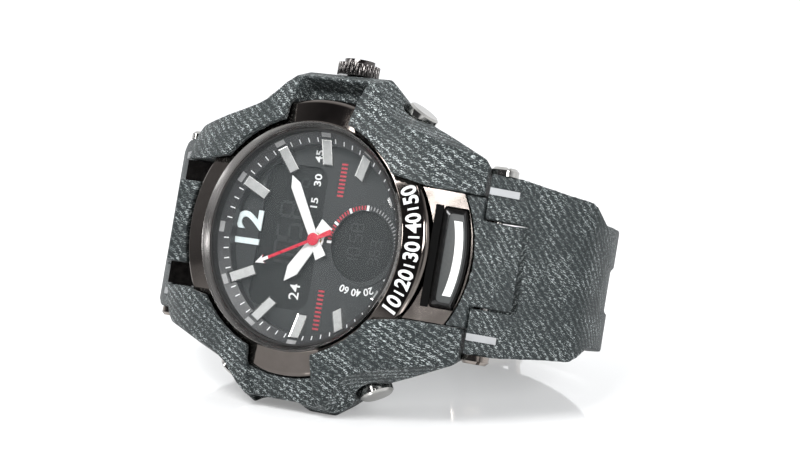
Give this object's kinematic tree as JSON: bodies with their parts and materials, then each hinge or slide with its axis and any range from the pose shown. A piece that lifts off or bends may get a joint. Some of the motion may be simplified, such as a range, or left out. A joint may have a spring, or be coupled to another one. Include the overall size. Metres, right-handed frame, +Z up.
{
  "type": "wristwatch",
  "caption": "Chunky analogue and digital wristwatch with clawed shock guards, dark bezel ring, side pushers, crown, and a patterned resin strap buckled into a loop, lying on its side",
  "frame": {"origin": "centre of the bounding box in plan, on the floor that the watch stands on", "axes": "+X towards the 6 o'clock side of the strap, the dial facing -Y and leaning back, +Z up; the watch stands on its 9 o'clock guard and the buckle's edge"},
  "size_m": [0.079, 0.0692, 0.0544],
  "materials": {
    "gunmetal": "polished dark plating",
    "steel": "fine brushed",
    "bright_silver": "polished",
    "seal_rubber": "matte",
    "crystal_glass": "clear, polished",
    "lcd_glass": "dark glass over a display",
    "black_plastic": "satin",
    "white_plastic": "satin",
    "dial_black": "fine matte",
    "white_enamel": "smooth white",
    "red_enamel": "smooth red",
    "train_brass": "machined",
    "board_green": "solder mask",
    "motor_copper": "lacquered winding",
    "print_resin": "satin resin with a printed twill pattern",
    "strap_resin": "satin flexible resin with a printed twill pattern",
    "button_grey": "satin"
  },
  "bodies": {
    "watch": {"case_body": "gunmetal", "case_back": "steel", "case_back_gasket": "seal_rubber", "case_back_screws": "steel", "bezel_ring": "gunmetal", "crystal": "crystal_glass", "crystal_gasket": "seal_rubber", "chapter_ring": "black_plastic", "dial": "dial_black", "hour_markers": "bright_silver", "subdial_ring": "dial_black", "lcd_panel": "lcd_glass", "subdial_lcd": "lcd_glass", "module_frame": "black_plastic", "train_bridge": "white_plastic", "circuit_board": "board_green", "board_screws": "steel", "stepping_motors": "motor_copper", "battery": "bright_silver", "battery_clamp": "steel", "buzzer": "train_brass", "module_spacer": "black_plastic", "crown_tube": "steel", "crown_gasket": "seal_rubber", "pusher_tubes": "steel", "guard_3": "print_resin", "guard_9": "print_resin", "side_feet": "black_plastic", "front_panel": "black_plastic", "end_link_12": "print_resin", "end_link_6": "print_resin", "strap_12": "strap_resin", "strap_6": "strap_resin", "strap_inserts": "bright_silver", "lug_pins": "gunmetal", "lug_screws": "gunmetal", "buckle_bar": "steel"},
    "minute": {"minute_hand": "white_enamel", "cannon_pinion": "steel"},
    "hour": {"hour_hand": "white_enamel", "hour_wheel": "train_brass"},
    "motion_wheel": {"minute_wheel": "train_brass"},
    "seconds": {"seconds_hand": "red_enamel", "seconds_arbor": "steel"},
    "crown_slider": {"setting_collar": "steel"},
    "crown_knob": {"crown": "gunmetal", "stem": "steel"},
    "light_key": {"light_button": "button_grey", "light_bar": "white_enamel"},
    "buckle": {"buckle_frame": "gunmetal"},
    "tongue": {"buckle_tongue": "gunmetal"},
    "loop_keeper": {"keeper": "strap_resin"},
    "push_2": {"pusher_2": "bright_silver", "pusher_clip_2": "steel"},
    "push_4": {"pusher_4": "bright_silver", "pusher_clip_4": "steel"},
    "push_8": {"pusher_8": "bright_silver", "pusher_clip_8": "steel"},
    "push_10": {"pusher_10": "bright_silver", "pusher_clip_10": "steel"}
  },
  "joints": [
    {"name": "minute_spin", "type": "hinge", "parent": "watch", "child": "minute", "pos_m": [0, -0.02563, 0.02699], "axis": [0, 0.9624, -0.2716], "continuous": true},
    {"name": "hour_spin", "type": "hinge", "parent": "watch", "child": "hour", "pos_m": [0, -0.02563, 0.02699], "axis": [0, 0.9624, -0.2716], "continuous": true},
    {"name": "motion_wheel_spin", "type": "hinge", "parent": "watch", "child": "motion_wheel", "pos_m": [0, -0.02693, 0.02237], "axis": [0, 0.9624, -0.2716], "continuous": true},
    {"name": "seconds_spin", "type": "hinge", "parent": "watch", "child": "seconds", "pos_m": [0, -0.02563, 0.02699], "axis": [0, 0.9624, -0.2716], "continuous": true},
    {"name": "crown_pull", "type": "slide", "parent": "watch", "child": "crown_slider", "axis": [0, 0.2716, 0.9624], "range_m": [0, 0.0012]},
    {"name": "crown_turn", "type": "hinge", "parent": "crown_slider", "child": "crown_knob", "pos_m": [0, -0.01947, 0.02525], "axis": [0, 0.2716, 0.9624], "continuous": true},
    {"name": "pusher_2_press", "type": "slide", "parent": "watch", "child": "push_2", "axis": [0.515, -0.2328, -0.8249], "range_m": [0, 0.001], "stiffness_N_per_m": 600, "springref_m": -0.0005},
    {"name": "pusher_4_press", "type": "slide", "parent": "watch", "child": "push_4", "axis": [-0.515, -0.2328, -0.8249], "range_m": [0, 0.001], "stiffness_N_per_m": 600, "springref_m": -0.0005},
    {"name": "pusher_8_press", "type": "slide", "parent": "watch", "child": "push_8", "axis": [-0.515, 0.2328, 0.8249], "range_m": [0, 0.001], "stiffness_N_per_m": 600, "springref_m": -0.0005},
    {"name": "pusher_10_press", "type": "slide", "parent": "watch", "child": "push_10", "axis": [0.515, 0.2328, 0.8249], "range_m": [0, 0.001], "stiffness_N_per_m": 600, "springref_m": -0.0005},
    {"name": "light_press", "type": "slide", "parent": "watch", "child": "light_key", "axis": [-0.6266, 0.7501, -0.2117], "range_m": [0, 0.0008], "stiffness_N_per_m": 500, "springref_m": -0.0005},
    {"name": "buckle_swing", "type": "hinge", "parent": "watch", "child": "buckle", "pos_m": [-0.00231, 0.02695, 0.01215], "axis": [0, 0.2716, 0.9624], "range_deg": [0, 3]},
    {"name": "tongue_swing", "type": "hinge", "parent": "buckle", "child": "tongue", "pos_m": [-0.00231, 0.02695, 0.01215], "axis": [0, 0.2716, 0.9624], "range_deg": [0, 4]},
    {"name": "keeper_slide", "type": "slide", "parent": "watch", "child": "loop_keeper", "axis": [-0.8639, -0.4848, 0.1368], "range_m": [-0.0015, 0.0015]}
  ],
  "couplings": [
    {"joint": "hour_spin", "follows": "minute_spin", "ratio": 0.083333},
    {"joint": "motion_wheel_spin", "follows": "minute_spin", "ratio": -0.33333}
  ]
}
